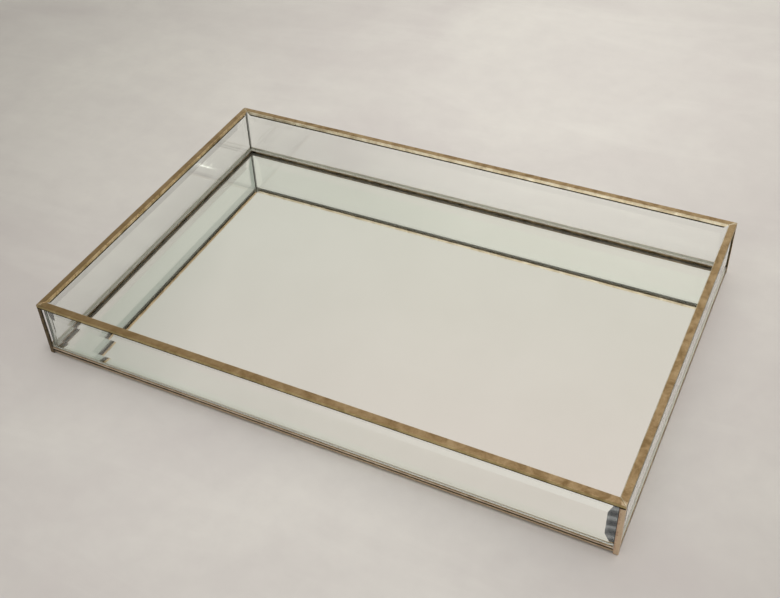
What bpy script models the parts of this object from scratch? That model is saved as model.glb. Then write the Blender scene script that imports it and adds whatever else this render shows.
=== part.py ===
"""Dresser vanity tray: four bevelled glass walls in a brass frame around a mirror base.

Units are metres and +Z is up. The tray stands on z = 0 with its long sides along X and its
origin at the middle of its footprint. Each wall is worked out lying along X with its outer
face at y = 0 and the inside of the tray towards +Y, and is then turned to its side.
"""

import math

import bmesh
import bpy
from mathutils import Matrix, Vector

MM = 0.001

# Overall size, over the brass
TRAY_LENGTH = 381.0 * MM
TRAY_WIDTH = 254.0 * MM
TRAY_HEIGHT = 41.7 * MM

# Brass: one sheet gauge for every rail and angle
BRASS_GAUGE = 0.4 * MM
TOP_OUTER_LEG = 2.9 * MM
TOP_INNER_LEG = 3.2 * MM
BOTTOM_OUTER_LEG = 2.4 * MM
BOTTOM_INNER_LEG = 1.0 * MM
CORNER_LAP = 0.5 * MM  # how far a corner angle laps over the ground end of the glass

# Glass
WALL_GLASS = 3.2 * MM
END_EDGE = 1.4 * MM  # thickness left at the ground ends
LONG_EDGE = 2.1 * MM  # thickness left along the ground top and bottom edges
END_BEVEL = 6.5 * MM  # bevels up the two ends
LONG_BEVEL = 9.5 * MM  # bevels along the top and bottom edges
MIRROR_GLASS = 2.0 * MM

# Base
FELT_THICKNESS = 0.9 * MM
FELT_INSET = 0.6 * MM  # from the edge of the mirror
FELT_CORNER_RADIUS = 4.0 * MM

# Solder drops behind the corner angles
SOLDER_WIDTH = 1.1 * MM
SOLDER_HEIGHT = 3.0 * MM

# Fits
FIT_GAP = 0.3 * MM  # between two pieces that touch

# Worked out from the sizes above
CHANNEL_WIDTH = WALL_GLASS + 2 * (BRASS_GAUGE + FIT_GAP)
GLASS_FRONT = BRASS_GAUGE + FIT_GAP
GLASS_BACK = GLASS_FRONT + WALL_GLASS
GLASS_SETBACK = GLASS_BACK - END_EDGE  # from the outer corner to the ground end of the glass
CORNER_LEG = GLASS_SETBACK + CORNER_LAP
MIRROR_INSET = BRASS_GAUGE + FIT_GAP
MIRROR_BOTTOM = FELT_THICKNESS + FIT_GAP
MIRROR_TOP = MIRROR_BOTTOM + MIRROR_GLASS
FRAME_BOTTOM = MIRROR_TOP + FIT_GAP
WEB_TOP = FRAME_BOTTOM + BRASS_GAUGE
GLASS_BOTTOM = WEB_TOP + FIT_GAP
GLASS_TOP = TRAY_HEIGHT - BRASS_GAUGE - FIT_GAP
ANGLE_BOTTOM = FIT_GAP
ANGLE_TOP = TRAY_HEIGHT - TOP_OUTER_LEG - FIT_GAP

WELD = 0.001 * MM
OVERSHOOT = 1.0 * MM  # how far a cutter runs past what it cuts

# name, length, quarter turns and middle of the outer face, for each side
SIDES = (
    ("front", TRAY_LENGTH, 0, (0.0, -TRAY_WIDTH / 2)),
    ("right", TRAY_WIDTH, 1, (TRAY_LENGTH / 2, 0.0)),
    ("back", TRAY_LENGTH, 2, (0.0, TRAY_WIDTH / 2)),
    ("left", TRAY_WIDTH, 3, (-TRAY_LENGTH / 2, 0.0)),
)

# name, quarter turns and place of the outer corner, with the corner's sides along its +X and +Y
CORNERS = (
    ("front_left", 0, (-TRAY_LENGTH / 2, -TRAY_WIDTH / 2)),
    ("front_right", 1, (TRAY_LENGTH / 2, -TRAY_WIDTH / 2)),
    ("back_right", 2, (TRAY_LENGTH / 2, TRAY_WIDTH / 2)),
    ("back_left", 3, (-TRAY_LENGTH / 2, TRAY_WIDTH / 2)),
)


def clear_scene():
    """Remove every object that is in the file already."""
    for ob in list(bpy.data.objects):
        bpy.data.objects.remove(ob)


def new_collection(name):
    """A collection linked to the scene."""
    collection = bpy.data.collections.new(name)
    bpy.context.scene.collection.children.link(collection)
    return collection


def material(name, colour, roughness, metallic=0.0, transmission=0.0):
    """A plain Principled material."""
    mat = bpy.data.materials.new(name)
    mat.use_nodes = True
    shader = mat.node_tree.nodes["Principled BSDF"]
    shader.inputs["Base Color"].default_value = (*colour, 1.0)
    shader.inputs["Roughness"].default_value = roughness
    shader.inputs["Metallic"].default_value = metallic
    shader.inputs["Transmission Weight"].default_value = transmission
    return mat


def antique_brass():
    """Brown, dull brass of the rails and angles."""
    return material("antique_brass", (0.42, 0.28, 0.12), 0.38, metallic=1.0)


def solder_metal():
    """Solder toned to match the brass."""
    return material("solder", (0.46, 0.36, 0.22), 0.35, metallic=1.0)


def clear_glass():
    """Wall glass with a faint green cast."""
    return material("clear_glass", (0.93, 0.98, 0.95), 0.02, transmission=1.0)


def mirror_finish():
    """Silvered glass."""
    return material("mirror", (0.88, 0.90, 0.88), 0.02, metallic=1.0)


def tan_felt():
    """Tan felt on the underside."""
    return material("tan_felt", (0.42, 0.31, 0.21), 0.95)


def placement(turns, place):
    """The matrix that turns a piece by quarter turns and moves it to its place on the plan."""
    turn = Matrix.Rotation(turns * math.pi / 2, 4, "Z")
    return Matrix.Translation((place[0], place[1], 0.0)) @ turn


def add_piece(name, bm, mat, collection, turns=0, place=(0.0, 0.0)):
    """Turn a bmesh into a named object with its own material, at its place."""
    bmesh.ops.recalc_face_normals(bm, faces=bm.faces[:])
    mesh = bpy.data.meshes.new(name)
    bm.to_mesh(mesh)
    bm.free()
    mesh.materials.append(mat)
    piece = bpy.data.objects.new(name, mesh)
    piece.matrix_world = placement(turns, place)
    collection.objects.link(piece)
    return piece


def prism(outline, thickness):
    """A closed bmesh of an outline in XY, made thickness thick along Z and centred there."""
    curve = bpy.data.curves.new("outline", "CURVE")
    curve.dimensions = "2D"
    curve.fill_mode = "BOTH"
    curve.extrude = thickness / 2
    spline = curve.splines.new("POLY")
    spline.points.add(len(outline) - 1)
    for point, (x, y) in zip(spline.points, outline):
        point.co = (x, y, 0.0, 1.0)
    spline.use_cyclic_u = True
    holder = bpy.data.objects.new("outline", curve)
    bpy.context.scene.collection.objects.link(holder)
    depsgraph = bpy.context.evaluated_depsgraph_get()
    mesh = bpy.data.meshes.new_from_object(holder.evaluated_get(depsgraph))
    bm = bmesh.new()
    bm.from_mesh(mesh)
    bmesh.ops.remove_doubles(bm, verts=bm.verts[:], dist=WELD)
    bpy.data.objects.remove(holder)
    bpy.data.curves.remove(curve)
    bpy.data.meshes.remove(mesh)
    return bm


def box(low, high):
    """A bmesh box between two corners."""
    bm = bmesh.new()
    size = Vector(high) - Vector(low)
    middle = (Vector(high) + Vector(low)) / 2
    placed = Matrix.Translation(middle) @ Matrix.Diagonal((*size, 1.0))
    bmesh.ops.create_cube(bm, size=1.0, matrix=placed)
    return bm


def slice_off(bm, point, normal):
    """Cut away what lies beyond a plane, on the side its normal points to, and close the cut."""
    cut = bmesh.ops.bisect_plane(
        bm,
        geom=bm.verts[:] + bm.edges[:] + bm.faces[:],
        dist=WELD / 10,
        plane_co=point,
        plane_no=normal,
        clear_outer=True,
    )
    rim = [item for item in cut["geom_cut"] if isinstance(item, bmesh.types.BMEdge)]
    bmesh.ops.contextual_create(bm, geom=rim)


def slice_mitres(bm, length):
    """Cut both ends of a wall piece at 45 degrees, half a fit gap short of the corner's diagonal."""
    end = length / 2 - FIT_GAP / math.sqrt(2)
    for side in (-1, 1):
        slice_off(bm, (side * end, 0.0, 0.0), (side, 1.0, 0.0))


def along_wall(outline, length):
    """A bar along X whose section is an outline of (inwards, up) points."""
    bm = prism(outline, length)
    # the outline's X, Y and Z become the wall's Y, Z and X
    laid_down = Matrix(((0, 0, 1), (1, 0, 0), (0, 1, 0)))
    bmesh.ops.transform(bm, matrix=laid_down.to_4x4(), verts=bm.verts[:])
    return bm


def add_cutter(name, bm, collection, turns=0, place=(0.0, 0.0)):
    """A hidden object that a Boolean takes away from a piece."""
    cutter = add_piece(name, bm, bpy.data.materials["antique_brass"], collection, turns, place)
    cutter.hide_render = True
    cutter.display_type = "WIRE"
    return cutter


def cut(piece, cutter):
    """Take a cutter's shape away from a piece."""
    modifier = piece.modifiers.new(cutter.name, "BOOLEAN")
    modifier.operation = "DIFFERENCE"
    modifier.solver = "EXACT"
    modifier.object = cutter


def top_rail_outline():
    """Section of the channel that caps a wall, open downwards."""
    top = TRAY_HEIGHT
    web = top - BRASS_GAUGE
    return (
        (0.0, top),
        (0.0, top - TOP_OUTER_LEG),
        (BRASS_GAUGE, top - TOP_OUTER_LEG),
        (BRASS_GAUGE, web),
        (CHANNEL_WIDTH - BRASS_GAUGE, web),
        (CHANNEL_WIDTH - BRASS_GAUGE, top - TOP_INNER_LEG),
        (CHANNEL_WIDTH, top - TOP_INNER_LEG),
        (CHANNEL_WIDTH, top),
    )


def bottom_rail_outline():
    """Section of the channel that a wall stands in, open upwards."""
    return (
        (0.0, FRAME_BOTTOM),
        (CHANNEL_WIDTH, FRAME_BOTTOM),
        (CHANNEL_WIDTH, FRAME_BOTTOM + BOTTOM_INNER_LEG),
        (CHANNEL_WIDTH - BRASS_GAUGE, FRAME_BOTTOM + BOTTOM_INNER_LEG),
        (CHANNEL_WIDTH - BRASS_GAUGE, WEB_TOP),
        (BRASS_GAUGE, WEB_TOP),
        (BRASS_GAUGE, FRAME_BOTTOM + BOTTOM_OUTER_LEG),
        (0.0, FRAME_BOTTOM + BOTTOM_OUTER_LEG),
    )


def snip_bm(length, side):
    """The corner that is snipped off one end of a top rail's inner leg, at 45 degrees."""
    inner_end = length / 2 - CHANNEL_WIDTH - FIT_GAP
    web = TRAY_HEIGHT - BRASS_GAUGE
    depth = TOP_INNER_LEG - BRASS_GAUGE + OVERSHOOT
    outline = (
        (inner_end, web),
        (inner_end - depth, web - depth),
        (inner_end + CHANNEL_WIDTH, web - depth),
        (inner_end + CHANNEL_WIDTH, web),
    )
    bm = prism([(side * x, z) for x, z in outline], BRASS_GAUGE + FIT_GAP)
    # the outline's Y becomes up, and the cutter straddles the inner leg only
    bmesh.ops.rotate(bm, matrix=Matrix.Rotation(math.pi / 2, 3, "X"), verts=bm.verts[:])
    bmesh.ops.translate(bm, vec=(0.0, CHANNEL_WIDTH - BRASS_GAUGE / 2, 0.0), verts=bm.verts[:])
    return bm


def corner_outline(grow=0.0):
    """Plan of a corner angle, with its outer corner at the origin, made larger by grow."""
    far = CORNER_LEG + grow
    near = BRASS_GAUGE + grow
    out = -OVERSHOOT if grow else 0.0
    return ((out, out), (far, out), (far, near), (near, near), (near, far), (out, far))


def upright(outline, bottom, top):
    """A prism of a plan outline between two heights."""
    bm = prism(outline, top - bottom)
    bmesh.ops.translate(bm, vec=(0.0, 0.0, (bottom + top) / 2), verts=bm.verts[:])
    return bm


def add_top_rails(collection, cutters, mat):
    """Four mitred channels that cap the walls, each with its inner leg snipped at both ends."""
    for name, length, turns, place in SIDES:
        bm = along_wall(top_rail_outline(), length)
        slice_mitres(bm, length)
        rail = add_piece("top_rail_" + name, bm, mat, collection, turns, place)
        for side, end in ((-1, "start"), (1, "end")):
            snip = add_cutter(f"snip_{name}_{end}", snip_bm(length, side), cutters, turns, place)
            cut(rail, snip)


def add_bottom_rails(collection, cutters, mat):
    """Four mitred channels under the walls, cut back at the corners to clear the angles."""
    reliefs = []
    leg_top = FRAME_BOTTOM + BOTTOM_OUTER_LEG
    for name, turns, place in CORNERS:
        bm = upright(corner_outline(FIT_GAP), FRAME_BOTTOM - OVERSHOOT, leg_top + OVERSHOOT)
        reliefs.append(add_cutter("relief_" + name, bm, cutters, turns, place))
    for index, (name, length, turns, place) in enumerate(SIDES):
        bm = along_wall(bottom_rail_outline(), length)
        slice_mitres(bm, length)
        rail = add_piece("bottom_rail_" + name, bm, mat, collection, turns, place)
        cut(rail, reliefs[index])
        cut(rail, reliefs[(index + 1) % len(reliefs)])


def add_corner_angles(collection, mat):
    """Four upright angles over the ends of the glass."""
    for name, turns, place in CORNERS:
        bm = upright(corner_outline(), ANGLE_BOTTOM, ANGLE_TOP)
        add_piece("corner_angle_" + name, bm, mat, collection, turns, place)


def wall_glass_bm(length):
    """A strip of glass with a bevel ground on all four edges of its outer face."""
    end = length / 2 - GLASS_SETBACK
    end_drop = WALL_GLASS - END_EDGE
    long_drop = WALL_GLASS - LONG_EDGE
    bm = box((-end, GLASS_FRONT, GLASS_BOTTOM), (end, GLASS_BACK, GLASS_TOP))
    for side in (-1, 1):
        slice_off(bm, (side * (end - END_BEVEL), GLASS_FRONT, 0.0), (side * end_drop, -END_BEVEL, 0.0))
    for edge, side in ((GLASS_TOP, 1), (GLASS_BOTTOM, -1)):
        slice_off(bm, (0.0, GLASS_FRONT, edge - side * LONG_BEVEL), (0.0, -LONG_BEVEL, side * long_drop))
    slice_mitres(bm, length)
    return bm


def add_wall_glass(collection, mat):
    """Four bevelled strips standing in the channels."""
    for name, length, turns, place in SIDES:
        add_piece("glass_" + name, wall_glass_bm(length), mat, collection, turns, place)


def flat_sheet_bm(inset, bottom, thickness):
    """A rectangular sheet set in from the tray's outer faces."""
    x = TRAY_LENGTH / 2 - inset
    y = TRAY_WIDTH / 2 - inset
    return box((-x, -y, bottom), (x, y, bottom + thickness))


def add_base(collection, mirror, felt):
    """The mirror that the walls stand on, between the feet of the angles, and the felt under it."""
    mirror_bm = flat_sheet_bm(MIRROR_INSET, MIRROR_BOTTOM, MIRROR_GLASS)
    add_piece("mirror_glass", mirror_bm, mirror, collection)
    felt_bm = flat_sheet_bm(MIRROR_INSET + FELT_INSET, 0.0, FELT_THICKNESS)
    uprights = [e for e in felt_bm.edges if abs(e.verts[0].co.z - e.verts[1].co.z) > WELD]
    bmesh.ops.bevel(
        felt_bm, geom=uprights, offset=FELT_CORNER_RADIUS, segments=5, profile=0.5, affect="EDGES"
    )
    add_piece("felt_base", felt_bm, felt, collection)


def solder_bm(bottom):
    """An upright drop of solder in the hollow behind a corner angle."""
    bm = bmesh.new()
    bmesh.ops.create_uvsphere(bm, u_segments=12, v_segments=8, radius=0.5)
    set_back = BRASS_GAUGE + FIT_GAP + SOLDER_WIDTH / 2
    stretch = Matrix.Diagonal((SOLDER_WIDTH, SOLDER_WIDTH, SOLDER_HEIGHT, 1.0))
    middle = Matrix.Translation((set_back, set_back, bottom + SOLDER_HEIGHT / 2))
    bmesh.ops.transform(bm, matrix=middle @ stretch, verts=bm.verts[:])
    for face in bm.faces:
        face.smooth = True
    return bm


def add_solder(collection, mat):
    """Eight drops of solder, at the top and the bottom of each corner angle."""
    low = WEB_TOP + FIT_GAP
    high = TRAY_HEIGHT - BRASS_GAUGE - FIT_GAP - SOLDER_HEIGHT
    for name, turns, place in CORNERS:
        add_piece("solder_bottom_" + name, solder_bm(low), mat, collection, turns, place)
        add_piece("solder_top_" + name, solder_bm(high), mat, collection, turns, place)


def build():
    """Make the whole tray."""
    clear_scene()
    tray = new_collection("dresser_vanity_tray")
    cutters = new_collection("cutters")
    brass = antique_brass()
    add_top_rails(tray, cutters, brass)
    add_bottom_rails(tray, cutters, brass)
    add_corner_angles(tray, brass)
    add_wall_glass(tray, clear_glass())
    add_base(tray, mirror_finish(), tan_felt())
    add_solder(tray, solder_metal())


build()
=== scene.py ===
"""Looks of the dresser vanity tray: bevelled glass, a silvered mirror and soldered antique brass."""

import math

import bmesh
import bpy
from mathutils import Matrix, Vector, noise


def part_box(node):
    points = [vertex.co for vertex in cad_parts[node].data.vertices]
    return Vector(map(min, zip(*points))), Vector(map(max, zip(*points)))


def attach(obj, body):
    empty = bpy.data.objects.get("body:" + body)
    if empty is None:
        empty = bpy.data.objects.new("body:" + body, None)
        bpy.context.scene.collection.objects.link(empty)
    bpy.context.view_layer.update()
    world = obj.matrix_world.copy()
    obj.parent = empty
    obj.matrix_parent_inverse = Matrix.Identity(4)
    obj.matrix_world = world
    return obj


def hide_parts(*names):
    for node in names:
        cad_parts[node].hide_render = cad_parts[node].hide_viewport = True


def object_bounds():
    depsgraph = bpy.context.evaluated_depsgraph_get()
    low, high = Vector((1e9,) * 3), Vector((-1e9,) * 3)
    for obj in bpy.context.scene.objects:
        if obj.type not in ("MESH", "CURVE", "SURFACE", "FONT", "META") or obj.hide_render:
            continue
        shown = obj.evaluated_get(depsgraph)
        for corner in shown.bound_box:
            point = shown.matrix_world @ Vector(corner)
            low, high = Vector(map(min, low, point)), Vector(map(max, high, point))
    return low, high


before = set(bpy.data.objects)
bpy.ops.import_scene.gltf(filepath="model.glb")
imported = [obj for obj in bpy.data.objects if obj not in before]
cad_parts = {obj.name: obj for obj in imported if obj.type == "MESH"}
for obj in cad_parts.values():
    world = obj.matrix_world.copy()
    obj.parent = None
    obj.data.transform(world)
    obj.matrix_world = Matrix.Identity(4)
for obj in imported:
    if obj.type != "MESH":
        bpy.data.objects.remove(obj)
CAD_LOW, CAD_HIGH = [tuple(corner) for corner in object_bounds()]

MM = 0.001
LENGTH = CAD_HIGH[0] - CAD_LOW[0]
WIDTH = CAD_HIGH[1] - CAD_LOW[1]

SIDES = ("front", "right", "back", "left")
CORNERS = ("front_left", "front_right", "back_right", "back_left")
LONG_SIDES = ("front", "back")

# Sizes that the CAD pieces have
GAUGE = 0.4 * MM  # of the brass
CHANNEL = 4.6 * MM  # over the two legs of a rail
FIT_GAP = 0.3 * MM

# Sizes of the finish
HAIRLINE = 0.03 * MM  # left open along the mitres
WOBBLE = 0.05 * MM  # how far the brass wanders from straight
BEND = 0.35 * MM  # radius down the outer bend of an angle
POLISH = 0.12 * MM  # radius where the faces of the wall glass meet
ARRIS = 0.15 * MM  # radius round the top of the mirror
SILVER_DEPTH = 0.12 * MM  # of the silvered layer
SILVER_INSET = 0.03 * MM  # of the silvered layer from the mirror's edge
SOLDER_LUMPS = 0.12 * MM  # how far the solder bulges and dips
FELT_ROUND = 0.2 * MM  # radius of the felt's edges
FELT_RAG = 0.25 * MM  # how far the cut edge of the felt wanders
SHOULDER = 0.6 * MM  # radius of the rolled top edges
BACK_SHOULDER = 0.85 * MM  # the same on the back rail, rubbed wider
SEAM_SHADE = 0.7 * MM  # blackened band at the free end of a top rail's outer leg, also painted shade where the leg meets the glass
INNER_SEAM_SHADE = 1.0 * MM  # the same on its inner leg
FOOT_SHADOW = 0.85 * MM  # painted shadow along the foot of the bottom rails, in the gap over the mirror's edge
LIP_SHADE = 0.5 * MM  # painted shade along the top of the bottom rails' outer legs

# Spacing of the points along the pieces, and how close two places are when they count as one
RAIL_RING = 9 * MM
ANGLE_RING = 4 * MM
FELT_RING = 6 * MM
TOUCH = 0.01 * MM


# ---------------------------------------------------------------- shader helpers


class Nodes:
    """Short calls for the nodes of a material or of the world."""

    def __init__(self, tree, coordinates):
        self.tree = tree
        self.place = tree.nodes.new("ShaderNodeTexCoord").outputs[coordinates]

    def feed(self, socket, value):
        """Set an input to a value, or link it to an output."""
        if isinstance(value, bpy.types.NodeSocket):
            self.tree.links.new(value, socket)
        elif isinstance(value, tuple) and len(value) == 3 and socket.type == "RGBA":
            socket.default_value = (*value, 1.0)
        else:
            socket.default_value = value

    def add(self, kind, **inputs):
        """A node of a kind, with its inputs fed by name."""
        node = self.tree.nodes.new("ShaderNode" + kind)
        for name, value in inputs.items():
            self.feed(node.inputs[name.replace("_", " ")], value)
        return node

    def math(self, operation, *values):
        """The result of a Math node."""
        node = self.tree.nodes.new("ShaderNodeMath")
        node.operation = operation
        for socket, value in zip(node.inputs, values):
            self.feed(socket, value)
        return node.outputs[0]

    def split(self, vector):
        """The three parts of a vector."""
        return self.add("SeparateXYZ", Vector=vector).outputs

    def noise(self, scale, detail=3.0, rough=0.5, stretch=(1.0, 1.0, 1.0), warp=0.0):
        """Fractal noise, scale features a metre, squeezed along each axis by stretch."""
        place = self.add("Mapping", Vector=self.place, Scale=stretch).outputs[0]
        node = self.add(
            "TexNoise", Vector=place, Scale=scale, Detail=detail, Roughness=rough, Distortion=warp
        )
        return node.outputs["Fac"]

    def ramp(self, value, stops):
        """A colour ramp of (position, colour) stops."""
        node = self.add("ValToRGB", Fac=value)
        elements = node.color_ramp.elements
        while len(elements) < len(stops):
            elements.new(0.5)
        for element, (position, colour) in zip(elements, stops):
            element.position = position
            element.color = (*colour, 1.0)
        return node.outputs["Color"]

    def span(self, value, low, high, start=0.0, end=1.0):
        """A value between start and end mapped to low and high."""
        node = self.add("MapRange", Value=value, From_Min=start, From_Max=end, To_Min=low, To_Max=high)
        return node.outputs["Result"]

    def mix(self, factor, first, second, blend="MIX"):
        """Two colours mixed."""
        node = self.tree.nodes.new("ShaderNodeMix")
        node.data_type = "RGBA"
        node.blend_type = blend
        for index, value in ((0, factor), (6, first), (7, second)):
            self.feed(node.inputs[index], value)
        return node.outputs[2]


class Shader(Nodes):
    """A Principled material."""

    def __init__(self, name, **values):
        self.material = bpy.data.materials.new(name)
        self.material.use_nodes = True
        super().__init__(self.material.node_tree, "Object")
        self.surface = self.tree.nodes["Principled BSDF"]
        for name, value in values.items():
            self.set(name, value)

    def set(self, name, value):
        """Feed one of the surface's inputs."""
        self.feed(self.surface.inputs[name.replace("_", " ")], value)

    def bump(self, height, strength, distance):
        """Drive the surface's normal from a height."""
        self.set("Normal", self.add("Bump", Height=height, Strength=strength, Distance=distance).outputs[0])


# ---------------------------------------------------------------- materials


def brass_material(name, tones, rough, scratch=0.12, solder=None):
    """Aged brass: patches of three tones, fine specks and scratches, and toned solder at the corners."""
    s = Shader(name, Metallic=1.0)
    patches = s.noise(130.0, detail=6.0, rough=0.66, warp=0.5)
    dark, middle, light = tones
    colour = s.ramp(patches, [(0.36, dark), (0.5, middle), (0.64, light)])
    specks = s.noise(1500.0, detail=2.0, rough=0.6)
    colour = s.mix(s.span(specks, 0.0, 0.5, 0.54, 0.74), colour, dark)
    if solder:
        x, y = s.split(s.place)[:2]
        # the brass is darker towards the front left of the tray
        forward = s.math("ADD", s.math("MULTIPLY", x, -0.7), s.math("MULTIPLY", y, -0.7))
        colour = s.mix(s.span(forward, 0.0, 0.70, -0.05, 0.19), colour, dark)
        reach = s.span(s.noise(900.0), 1.4 * MM, 3.6 * MM, 0.3, 0.7)
        off_x = s.math("SUBTRACT", LENGTH / 2, s.math("ABSOLUTE", x))
        off_y = s.math("SUBTRACT", WIDTH / 2, s.math("ABSOLUTE", y))
        near = s.math("SUBTRACT", reach, s.math("MAXIMUM", off_x, off_y))
        colour = s.mix(s.span(near, 0.0, 0.75, -0.3 * MM, 0.5 * MM), colour, solder)
    s.set("Base_Color", colour)
    s.set("Roughness", s.span(s.noise(240.0, detail=4.0, rough=0.6), rough - 0.1, rough + 0.12, 0.3, 0.7))
    s.bump(s.noise(700.0, rough=0.7, stretch=(0.12, 0.12, 1.0)), scratch, 0.06 * MM)
    return s.material


def brass_finishes():
    """The brass tones, with copies that paint shade and highlights, and the putty, in the order of the
    indices below.
    """
    solder = (0.74, 0.60, 0.42)
    face = [(0.30, 0.20, 0.095), (0.47, 0.33, 0.18), (0.59, 0.44, 0.26)]
    # rubbed: rubbed brass that also paints a highlight on the top rails' inner legs and shoulders
    rubbed_highlit = [(0.40, 0.28, 0.13), (0.60, 0.44, 0.25), (0.80, 0.64, 0.41)]
    # blackened: dark joints along the glass, also used as painted shade in gaps, under legs and on the
    # angles' inner faces
    blackened_shade = [(0.018, 0.014, 0.006), (0.05, 0.04, 0.018), (0.10, 0.08, 0.04)]
    # bright: a paler copy that paints the pale floor reflected in the bottom rails' outer faces
    bright = [(0.64, 0.50, 0.37), (0.79, 0.65, 0.51), (0.88, 0.76, 0.62)]
    # olive: a dull copy used as painted shade on the bottom rails' lips and the back right angle's inner
    # faces
    olive = [(0.13, 0.105, 0.055), (0.23, 0.185, 0.105), (0.34, 0.285, 0.17)]
    # polished: a pale copy of the brass that paints the highlight along the inner shoulders of the right
    # and back rails
    polished = [(0.60, 0.50, 0.34), (0.82, 0.73, 0.55), (0.95, 0.89, 0.74)]
    rosy = [(0.40, 0.26, 0.17), (0.60, 0.42, 0.30), (0.74, 0.55, 0.41)]
    # shaded: painted shade on the bottom rails' inner faces and on the left angles
    shaded = [(0.06, 0.042, 0.02), (0.13, 0.095, 0.05), (0.24, 0.18, 0.11)]
    gilt = [(0.32, 0.245, 0.105), (0.45, 0.35, 0.165), (0.57, 0.46, 0.24)]
    return [
        brass_material("brass_face", face, 0.40, solder=solder),
        brass_material("brass_rubbed_highlit", rubbed_highlit, 0.30, 0.06),
        brass_material("brass_blackened_shade", blackened_shade, 0.5),
        brass_material("brass_bright", bright, 0.36, 0.1),
        brass_material("brass_olive", olive, 0.42),
        glazing_putty(),
        brass_material("brass_painted_highlight", polished, 0.34, 0.06),
        brass_material("brass_rosy", rosy, 0.40, solder=solder),
        brass_material("brass_shaded", shaded, 0.42),
        brass_material("brass_gilt", gilt, 0.38, 0.1),
    ]


FACE, RUBBED_HIGHLIT, BLACK, BRIGHT, OLIVE, PUTTY, PAINTED_HIGHLIGHT, ROSY, SHADED, GILT = range(10)


def glazing_putty():
    """Pale putty that lines the channels, grainy, with a few darker crumbs."""
    s = Shader("glazing_putty", Roughness=0.7)
    grain = s.noise(1800.0, detail=4.0, rough=0.65)
    s.set("Base_Color", s.ramp(grain, [(0.3, (0.72, 0.70, 0.62)), (0.6, (0.90, 0.89, 0.82))]))
    s.bump(grain, 0.3, 0.05 * MM)
    return s.material


def solder_toned():
    """Solder brushed with patina, smoother and paler than the brass."""
    tones = [(0.30, 0.22, 0.12), (0.52, 0.40, 0.25), (0.74, 0.60, 0.42)]
    return brass_material("solder_toned", tones, 0.3, 0.2)


def polished_glass():
    """Clear wall glass with a faint green cast and slight draw lines along its length."""
    tint = (0.950, 0.972, 0.958)
    s = Shader("polished_glass", Base_Color=tint, Roughness=0.0, IOR=1.52, Transmission_Weight=1.0)
    s.bump(s.noise(60.0, detail=2.0, rough=0.4, stretch=(0.05, 0.05, 1.0)), 0.25, 0.05 * MM)
    return s.material


def mirror_sheet_glass():
    """The sheet over the silvering, flatter and clearer than the wall glass."""
    tint = (0.985, 0.992, 0.982)
    s = Shader("mirror_sheet_glass", Base_Color=tint, Roughness=0.0, IOR=1.52, Transmission_Weight=1.0)
    s.bump(s.noise(30.0, detail=2.0, rough=0.4), 0.05, 0.02 * MM)
    return s.material


def ground_glass():
    """Edges of the glass that were only ground, not polished."""
    s = Shader("ground_glass", Base_Color=(0.86, 0.92, 0.88), IOR=1.52, Transmission_Weight=1.0)
    s.bump(s.noise(2600.0, detail=2.0, rough=0.6), 0.5, 0.04 * MM)
    s.set("Roughness", s.span(s.noise(500.0), 0.2, 0.45))
    return s.material


def painted_edge():
    """Tan backing paint drawn round the mirror's edge, with painted shade along the top under the rail,
    wider to the left.
    """
    s = Shader("painted_edge", Roughness=0.6)
    blot = s.noise(420.0, detail=5.0, rough=0.65)
    paint = s.ramp(blot, [(0.35, (0.42, 0.30, 0.18)), (0.65, (0.62, 0.47, 0.32))])
    x, y, z = s.split(s.place)
    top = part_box("mirror_glass")[1].z
    wander = s.span(s.noise(300.0), 0.30 * MM, 0.55 * MM, 0.3, 0.7)
    reach = s.math("ADD", wander, s.span(x, 1.0 * MM, 0.0, -0.19, 0.08))
    depth = s.math("SUBTRACT", top, z)
    # painted shade along the top of the edge, in the gap under the rail, wider to the left
    gap_shade = s.span(s.math("SUBTRACT", depth, reach), 1.0, 0.0, -0.1 * MM, 0.1 * MM)
    s.set("Base_Color", s.mix(gap_shade, paint, (0.03, 0.022, 0.012)))
    s.bump(blot, 0.3, 0.1 * MM)
    return s.material


def silvering():
    """Silver behind the mirror glass, very slightly uneven."""
    s = Shader("silvering", Metallic=1.0)
    s.set("Base_Color", s.ramp(s.noise(14.0), [(0.3, (0.925, 0.925, 0.91)), (0.7, (0.955, 0.955, 0.945))]))
    s.set("Roughness", s.span(s.noise(30.0, detail=2.0), 0.008, 0.03))
    return s.material


def felt_cloth():
    """Tan felt: a matted nap with paler stray fibres."""
    s = Shader("felt_cloth", Roughness=0.95, Sheen_Weight=0.3, Sheen_Roughness=0.5)
    nap = s.noise(900.0, detail=5.0, rough=0.75, warp=1.2)
    stray = s.noise(2600.0, detail=2.0, rough=0.6, stretch=(0.25, 1.0, 1.0), warp=2.0)
    base = s.ramp(nap, [(0.3, (0.30, 0.21, 0.13)), (0.7, (0.50, 0.38, 0.26))])
    s.set("Base_Color", s.mix(s.span(stray, 0.0, 0.5, 0.6, 0.75), base, (0.62, 0.52, 0.40)))
    s.bump(nap, 0.9, 0.5 * MM)
    return s.material


def floor_surface():
    """Pale, satin, softly mottled table top."""
    s = Shader("floor_surface", Roughness=0.35)
    cloud = s.noise(5.0, detail=4.0, rough=0.55, warp=0.8)
    colour = s.ramp(
        cloud, [(0.3, (0.575, 0.545, 0.545)), (0.5, (0.62, 0.60, 0.59)), (0.7, (0.67, 0.655, 0.635))]
    )
    fine = s.noise(60.0, detail=5.0, rough=0.6)
    colour = s.mix(s.span(fine, 0.0, 0.30, 0.35, 0.75), colour, (0.53, 0.51, 0.51))
    streaks = s.noise(16.0, detail=4.0, rough=0.6, stretch=(0.25, 1.0, 1.0), warp=1.5)
    s.set("Base_Color", s.mix(s.span(streaks, 0.0, 0.30, 0.5, 0.75), colour, (0.72, 0.71, 0.69)))
    s.bump(fine, 0.05, 0.2 * MM)
    return s.material


# ---------------------------------------------------------------- mesh helpers


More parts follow.
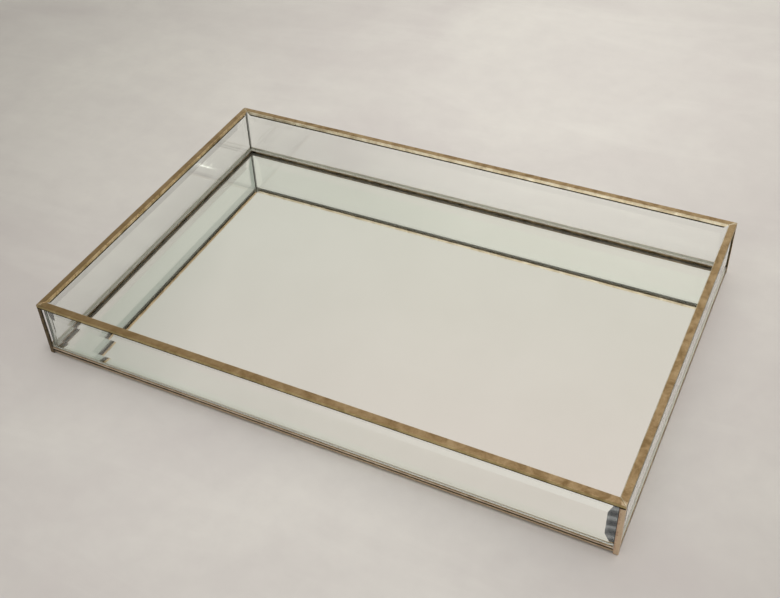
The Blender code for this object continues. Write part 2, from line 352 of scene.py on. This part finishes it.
def finish_piece(bm, name, materials, slot, *nodes):
    """Make an object of a bmesh, let it ride on the tray and stand for its CAD nodes."""
    mesh = bpy.data.meshes.new(name)
    bm.to_mesh(mesh)
    bm.free()
    for mat in materials:
        mesh.materials.append(mat)
    piece = bpy.data.objects.new(name, mesh)
    bpy.context.scene.collection.objects.link(piece)
    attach(piece, "root")
    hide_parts(*nodes)
    return piece


def node_bm(node):
    """A CAD node's mesh with its flat faces whole again."""
    bm = bmesh.new()
    bm.from_mesh(bpy.data.objects[node].data)
    bmesh.ops.remove_doubles(bm, verts=bm.verts[:], dist=0.001 * MM)
    bmesh.ops.dissolve_limit(
        bm,
        angle_limit=math.radians(0.5),
        verts=bm.verts[:],
        edges=bm.edges[:],
        use_dissolve_boundaries=False,
    )
    for face in bm.faces:
        face.smooth = False
        face.material_index = 0
    return bm


def round_edges(bm, edges, radius, segments, index):
    """Round some edges and give the new faces a material index."""
    made = bmesh.ops.bevel(
        bm, geom=edges, offset=radius, segments=segments, profile=0.5, affect="EDGES", clamp_overlap=True
    )
    for face in made["faces"]:
        face.material_index = index
        face.smooth = True


def sharp_edges(bm):
    """Edges where two faces meet at more than a few degrees."""
    return [e for e in bm.edges if len(e.link_faces) == 2 and e.calc_face_angle() > math.radians(8)]


def slice_across(bm, axis, at):
    """Cut the mesh through at a height along an axis, leaving it whole."""
    normal = Vector([1.0 if k == axis else 0.0 for k in range(3)])
    everything = bm.verts[:] + bm.edges[:] + bm.faces[:]
    bmesh.ops.bisect_plane(bm, geom=everything, plane_co=normal * at, plane_no=normal, dist=0.002 * MM)


def add_rings(bm, axis, spacing):
    """Cut the mesh across at a regular spacing along an axis."""
    low = min(v.co[axis] for v in bm.verts)
    high = max(v.co[axis] for v in bm.verts)
    count = int((high - low) / spacing)
    for ring in range(1, count):
        slice_across(bm, axis, low + ring * (high - low) / count)


def keep_inside(bm):
    """Bring points that left the tray's box back to it."""
    for v in bm.verts:
        for k in range(3):
            v.co[k] = min(max(v.co[k], CAD_LOW[k]), CAD_HIGH[k])


def hand_made(bm, amount, scale):
    """Move points by smooth noise, scale waves a metre, never out of the tray's box."""
    for v in bm.verts:
        v.co += noise.noise_vector(v.co * scale) * amount
    keep_inside(bm)


# ---------------------------------------------------------------- pieces


def inward(side):
    """Unit vector from a side towards the middle of the tray."""
    return {
        "front": Vector((0, 1, 0)),
        "right": Vector((-1, 0, 0)),
        "back": Vector((0, -1, 0)),
        "left": Vector((1, 0, 0)),
    }[side]


def depth_in(side, place):
    """How far a place lies in from the outer face of a side."""
    half = WIDTH / 2 if side in LONG_SIDES else LENGTH / 2
    return half + inward(side).dot(place)


def close_mitres(bm, side):
    """Bring a rail's mitred ends up to its neighbours, leaving a hairline."""
    along = 0 if side in LONG_SIDES else 1
    half = (LENGTH / 2, WIDTH / 2)
    for v in bm.verts:
        short = half[along] - abs(v.co[along]) - depth_in(side, v.co)
        if 0.0 < short < 0.5 * MM:
            v.co[along] += math.copysign(short - HAIRLINE, v.co[along])


def paint_rail(bm, side, place, ends, web):
    """Colours of a rail: blackened bands on its legs that are also painted shade, painted shade and
    highlights on its other faces, and putty inside the channel.
    """
    outer_end, inner_end, top = ends
    for face in bm.faces:
        middle = face.calc_center_median()
        facing = face.normal.dot(inward(side))
        deep = depth_in(side, middle)
        outside = facing < -0.7 and deep < GAUGE / 2
        inside = facing > 0.7 and deep > CHANNEL - GAUGE / 2
        # inner leg: a blackened band along the glass that is also painted shade, and above it rubbed brass
        # with a painted highlight
        if inside and place == "top":
            face.material_index = BLACK if middle.z < inner_end + INNER_SEAM_SHADE else RUBBED_HIGHLIT
        # outer leg: a blackened band along the glass that is also painted shade
        elif outside and place == "top":
            face.material_index = BLACK if middle.z < outer_end + SEAM_SHADE else GILT
        # painted shade on the bottom rails' inner faces, where they meet the mirror
        elif inside:
            face.material_index = SHADED
        # painted shade along the top of the bottom rails' outer legs
        elif outside and middle.z > top - LIP_SHADE:
            face.material_index = OLIVE
        # painted shadow along the foot, and above it a paler copy that paints the reflected floor
        elif outside:
            face.material_index = BLACK if middle.z < outer_end + FOOT_SHADOW else BRIGHT
        elif GAUGE * 0.9 < deep < CHANNEL - GAUGE * 0.9 and abs(middle.z - web) > GAUGE * 0.4:
            face.material_index = PUTTY
        # painted shade on the undersides of the top rails' legs
        elif face.normal.z < -0.7:
            face.material_index = BLACK if place == "top" else PUTTY


def leg_ends(node, side):
    """Lowest points of a channel's outer and inner legs, and the highest point of the outer one."""
    heights = {"outer": [], "inner": []}
    for v in bpy.data.objects[node].data.vertices:
        leg = "inner" if depth_in(side, v.co) > CHANNEL / 2 else "outer"
        heights[leg].append(v.co.z)
    return min(heights["outer"]), min(heights["inner"]), max(heights["outer"])


def shoulder_edges(bm, side, height):
    """The long edges of a top rail's web, at a height."""
    def on_shoulder(v):
        deep = depth_in(side, v.co)
        return abs(v.co.z - height) < TOUCH and min(deep, CHANNEL - deep) < TOUCH

    return [e for e in sharp_edges(bm) if all(on_shoulder(v) for v in e.verts)]


def roll_shoulders(bm, side, edges):
    """Round a top rail's shoulders, with a painted highlight on the inner side: a pale highlight copy on
    the right and back, rubbed brass with a painted highlight on the front and left.
    """
    round_edges(bm, edges, BACK_SHOULDER if side == "back" else SHOULDER, 4, RUBBED_HIGHLIT)
    # painted highlight on the inner shoulders
    inner_highlight = PAINTED_HIGHLIGHT if side in ("right", "back") else RUBBED_HIGHLIT
    for face in bm.faces:
        if face.material_index == RUBBED_HIGHLIT:
            inner = depth_in(side, face.calc_center_median()) > CHANNEL / 2
            face.material_index = inner_highlight if inner else FACE


def make_top_rail(side, materials):
    """A top rail: rolled shoulders, and the free ends of its legs blackened and painted with shade."""
    node = f"top_rail_{side}"
    ends = outer_end, inner_end, top = leg_ends(node, side)
    bm = node_bm(node)
    slice_across(bm, 2, outer_end + SEAM_SHADE)
    slice_across(bm, 2, inner_end + INNER_SEAM_SHADE)
    paint_rail(bm, side, "top", ends, top)
    shoulders = shoulder_edges(bm, side, top)
    close_mitres(bm, side)
    roll_shoulders(bm, side, shoulders)
    finish_rail(bm, node, side, materials)


def make_bottom_rail(side, materials):
    """A bottom rail, let down almost onto the mirror, with painted shade along its lip and a painted shadow
    along its foot.
    """
    node = f"bottom_rail_{side}"
    ends = leg_ends(node, side)
    foot, top = ends[0], ends[2]
    bm = node_bm(node)
    slice_across(bm, 2, foot + FOOT_SHADOW)
    slice_across(bm, 2, top - LIP_SHADE)
    paint_rail(bm, side, "bottom", ends, foot)
    close_mitres(bm, side)
    for v in bm.verts:
        if v.co.z < foot + TOUCH:
            v.co.z -= FIT_GAP * 0.9
    finish_rail(bm, node, side, materials)


def finish_rail(bm, node, side, materials):
    """Give a rail the slight unevenness of hand work and make its object."""
    add_rings(bm, 0 if side in LONG_SIDES else 1, RAIL_RING)
    hand_made(bm, WOBBLE, 45.0)
    finish_piece(bm, f"{node}_fine", materials, "antique_brass", node)


def make_rails(materials):
    """The eight rails."""
    for side in SIDES:
        make_top_rail(side, materials)
    for side in SIDES:
        make_bottom_rail(side, materials)


def make_angles(materials):
    """The four corner angles, rosy at the right and painted with shade at the left, with painted shade on
    their inner faces.
    """
    for corner in CORNERS:
        node = f"corner_angle_{corner}"
        low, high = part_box(node)
        bm = node_bm(node)
        middle = (low + high) / 2
        corner_x = CAD_HIGH[0] if middle.x > 0 else CAD_LOW[0]
        corner_y = CAD_HIGH[1] if middle.y > 0 else CAD_LOW[1]
        # painted shade on the left angles and on every inner face, lighter at the back right
        outer = ROSY if middle.x > 0 else SHADED
        inner = OLIVE if corner == "back_right" else BLACK
        for face in bm.faces:
            place = face.calc_center_median()
            on_x = abs(face.normal.x) > 0.7 and abs(place.x - corner_x) < GAUGE / 4
            on_y = abs(face.normal.y) > 0.7 and abs(place.y - corner_y) < GAUGE / 4
            face.material_index = outer if on_x or on_y else inner
        bend = [
            e for e in sharp_edges(bm)
            if all(max(abs(v.co.x - corner_x), abs(v.co.y - corner_y)) < TOUCH for v in e.verts)
        ]
        round_edges(bm, bend, BEND, 3, outer)
        add_rings(bm, 2, ANGLE_RING)
        hand_made(bm, WOBBLE, 90.0)
        finish_piece(bm, f"{node}_fine", materials, "antique_brass", node)


def make_wall_glass(materials):
    """The four bevelled strips, with polished bevels and ground edges."""
    for side in SIDES:
        node = f"glass_{side}"
        way = inward(side)
        bm = node_bm(node)
        for face in bm.faces:
            if abs(face.normal.dot(way)) < 0.8:
                face.material_index = 1
        polished = [e for e in sharp_edges(bm) if all(f.material_index == 0 for f in e.link_faces)]
        round_edges(bm, polished, POLISH, 2, 0)
        finish_piece(bm, f"{node}_fine", materials, "clear_glass", node)


def make_mirror(glass, edge, silver):
    """Second-surface mirror: a sheet of glass over a thin silvered layer, with a painted edge."""
    low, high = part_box("mirror_glass")
    halfway = (low.z + high.z) / 2
    bm = node_bm("mirror_glass")
    for v in bm.verts:
        if v.co.z < halfway:
            v.co.z += SILVER_DEPTH * 0.8
    for face in bm.faces:
        face.material_index = 0 if abs(face.normal.z) > 0.5 else 1
    arrises = [e for e in sharp_edges(bm) if all(v.co.z > halfway for v in e.verts)]
    round_edges(bm, arrises, ARRIS, 2, 1)
    finish_piece(bm, "mirror_glass_fine", [glass, edge], "mirror", "mirror_glass")
    bm = node_bm("mirror_glass")
    for v in bm.verts:
        v.co.z = low.z if v.co.z < halfway else low.z + SILVER_DEPTH
        for k in range(2):
            v.co[k] -= math.copysign(SILVER_INSET, v.co[k])
    finish_piece(bm, "mirror_silvering", [silver], "mirror", "mirror_glass")


def make_felt(materials):
    """The felt on the underside, with a slightly ragged cut edge."""
    low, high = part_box("felt_base")
    bm = node_bm("felt_base")
    round_edges(bm, sharp_edges(bm), FELT_ROUND, 2, 0)
    add_rings(bm, 0, FELT_RING)
    add_rings(bm, 1, FELT_RING)
    for v in bm.verts:
        rag = noise.noise(Vector((v.co.x, v.co.y, 0.0)) * 330.0) * FELT_RAG
        for k in range(2):
            if abs(v.co[k]) > high[k] - 0.3 * MM:
                v.co[k] += math.copysign(rag, v.co[k])
    for face in bm.faces:
        face.smooth = True
    piece = finish_piece(bm, "felt_base_fine", materials, "tan_felt", "felt_base")


def make_solder(materials):
    """The solder drops behind the angles, lumpy as they set."""
    for corner in CORNERS:
        for level in ("top", "bottom"):
            node = f"solder_{level}_{corner}"
            bm = node_bm(node)
            bmesh.ops.subdivide_edges(bm, edges=bm.edges[:], cuts=1, use_grid_fill=True, smooth=0.5)
            hand_made(bm, SOLDER_LUMPS, 900.0)
            for face in bm.faces:
                face.smooth = True
            finish_piece(bm, f"{node}_fine", materials, "solder", node)


# ---------------------------------------------------------------- stage


def make_floor():
    """The plain table top."""
    bm = bmesh.new()
    bmesh.ops.create_grid(bm, x_segments=8, y_segments=8, size=4.0)
    mesh = bpy.data.meshes.new("floor")
    bm.to_mesh(mesh)
    bm.free()
    mesh.materials.append(floor_surface())
    floor = bpy.data.objects.new("floor", mesh)
    bpy.context.scene.collection.objects.link(floor)


def make_world():
    """Studio surround: height tones, dimmer at the left, a high soft key in front, a screen and lamps."""
    world = bpy.data.worlds.new("surround")
    world.use_nodes = True
    bpy.context.scene.world = world
    n = Nodes(world.node_tree, "Generated")
    x, y, z = n.split(n.place)
    height = n.ramp(z, [
        (0.0, (0.58, 0.56, 0.52)),
        (0.60, (0.69, 0.68, 0.60)),
        (0.78, (0.72, 0.655, 0.60)),
        (0.97, (0.95, 0.92, 0.87)),
    ])
    leftward = n.ramp(n.math("MULTIPLY", x, -1.0), [
        (0.30, (1.0, 1.0, 1.0)),
        (0.48, (0.93, 0.93, 0.94)),
        (0.62, (0.52, 0.56, 0.55)),
    ])
    even = n.mix(1.0, height, leftward, "MULTIPLY")
    towards = n.add("VectorMath")
    towards.operation = "DOT_PRODUCT"
    n.feed(towards.inputs[0], n.place)
    towards.inputs[1].default_value = Vector((-0.18, -0.86, 0.47)).normalized()
    key = n.span(towards.outputs["Value"], 0.0, 1.0, 0.960, 0.995)
    bands = n.span(n.noise(9.0, detail=3.0, rough=0.6, stretch=(0.12, 0.12, 1.0)), 0.10, 1.05, 0.38, 0.62)
    # the bands are kept to the near side, well above the table
    near = n.math("MULTIPLY", n.span(y, 1.0, 0.0, -0.45, -0.15), n.span(z, 0.0, 1.0, 0.35, 0.55))
    grey_bands = n.add("CombineXYZ", X=bands, Y=bands, Z=bands).outputs[0]
    banded = n.mix(near, even, n.mix(1.0, even, grey_bands, "MULTIPLY"))
    lit = n.mix(key, banded, (1.9, 1.8, 1.62))
    # the screen: tangents of its bearing left of +Y and of its height, with thin pale slats
    bearing = n.math("DIVIDE", n.math("MULTIPLY", x, -1.0), n.math("MAXIMUM", y, 0.001))
    flat = n.math("SQRT", n.math("ADD", n.math("MULTIPLY", x, x), n.math("MULTIPLY", y, y)))
    rise = n.math("DIVIDE", z, n.math("MAXIMUM", flat, 0.001))
    wide = n.math("COMPARE", bearing, 0.530, 0.085)
    tall = n.math("COMPARE", rise, 1.315, 0.090)
    slat = n.math("COMPARE", n.math("FRACT", n.math("DIVIDE", rise, 0.0215)), 0.5, 0.14)
    screen = n.mix(slat, (0.030, 0.032, 0.036), (0.34, 0.34, 0.34))
    shown = n.mix(n.math("MULTIPLY", wide, tall), lit, screen)
    # two slim far lamps at the back right: tangents of bearing and height, slope of the tube, half sizes
    across = n.math("DIVIDE", x, n.math("MAXIMUM", y, 0.001))
    tubes = ((0.735, 0.645, 0.31, 0.030, 0.010), (0.790, 0.675, 0.46, 0.022, 0.007))
    for place, lift, slope, half, thin in tubes:
        off = n.math("ADD", rise, n.math("MULTIPLY", n.math("SUBTRACT", across, place), slope))
        in_width, in_height = n.math("COMPARE", across, place, half), n.math("COMPARE", off, lift, thin)
        tube = n.math("MULTIPLY", in_width, in_height)
        shown = n.mix(tube, shown, (6.5, 6.5, 6.0))
    background = n.tree.nodes["Background"]
    n.feed(background.inputs["Color"], shown)


def soft_pool(name, watts, colour, place, aim, spread):
    """A soft round pool of light on the table, whose lamp itself is not seen in the mirror."""
    light = bpy.data.lights.new(name, "SPOT")
    light.energy = watts
    light.color = colour
    light.shadow_soft_size = 0.3
    light.spot_size = math.radians(spread)
    light.spot_blend = 1.0
    lamp = bpy.data.objects.new(name, light)
    lamp.visible_glossy = False
    lamp.visible_transmission = False
    lamp.location = place
    lamp.rotation_euler = (Vector(aim) - Vector(place)).to_track_quat("-Z", "Y").to_euler()
    bpy.context.scene.collection.objects.link(lamp)


def make_lights():
    """Pools of light over the tray, behind it and in front of it."""
    soft_pool("pool_middle", 52.0, (1.0, 0.97, 0.92), (0.35, 0.0, 2.5), (0.06, 0.08, 0.0), 25)
    soft_pool("pool_behind", 125.0, (1.0, 0.975, 0.925), (0.30, 0.6, 2.5), (0.0, 0.42, 0.0), 22)
    soft_pool("pool_front", 105.0, (1.0, 0.98, 0.97), (0.20, -0.4, 2.5), (0.0, -0.20, 0.0), 14)


def make_camera():
    """The viewing angle, from in front, to the right and above."""
    azimuth, elevation, roll = math.radians(29.29), math.radians(40.48), math.radians(-3.84)
    place = Vector((0.6444, -1.2686, 1.2826)) * LENGTH + Vector((0.0, 0.0, 2.6 * MM))
    back = Vector((
        math.sin(azimuth) * math.cos(elevation),
        -math.cos(azimuth) * math.cos(elevation),
        math.sin(elevation),
    ))
    right = (-back).cross(Vector((0, 0, 1))).normalized()
    up = right.cross(-back)
    turned_right = right * math.cos(roll) + up * math.sin(roll)
    turned_up = up * math.cos(roll) - right * math.sin(roll)
    camera = bpy.data.cameras.new("camera")
    camera.sensor_width = 36.0
    camera.lens = 50.3
    camera.shift_x = 0.0387
    camera.shift_y = -0.0242
    camera.clip_start = 0.01
    camera.clip_end = 50.0
    ob = bpy.data.objects.new("camera", camera)
    turn = Matrix((turned_right, turned_up, back)).transposed().to_4x4()
    ob.matrix_world = Matrix.Translation(place) @ turn
    bpy.context.scene.collection.objects.link(ob)
    bpy.context.scene.camera = ob


# ---------------------------------------------------------------- the scene

make_camera()
brass = brass_finishes()
make_rails(brass)
make_angles(brass)
make_wall_glass([polished_glass(), ground_glass()])
make_mirror(mirror_sheet_glass(), painted_edge(), silvering())
make_felt([felt_cloth()])
make_solder([solder_toned()])
make_floor()
make_world()
make_lights()
bpy.context.scene.view_settings.view_transform = "Standard"
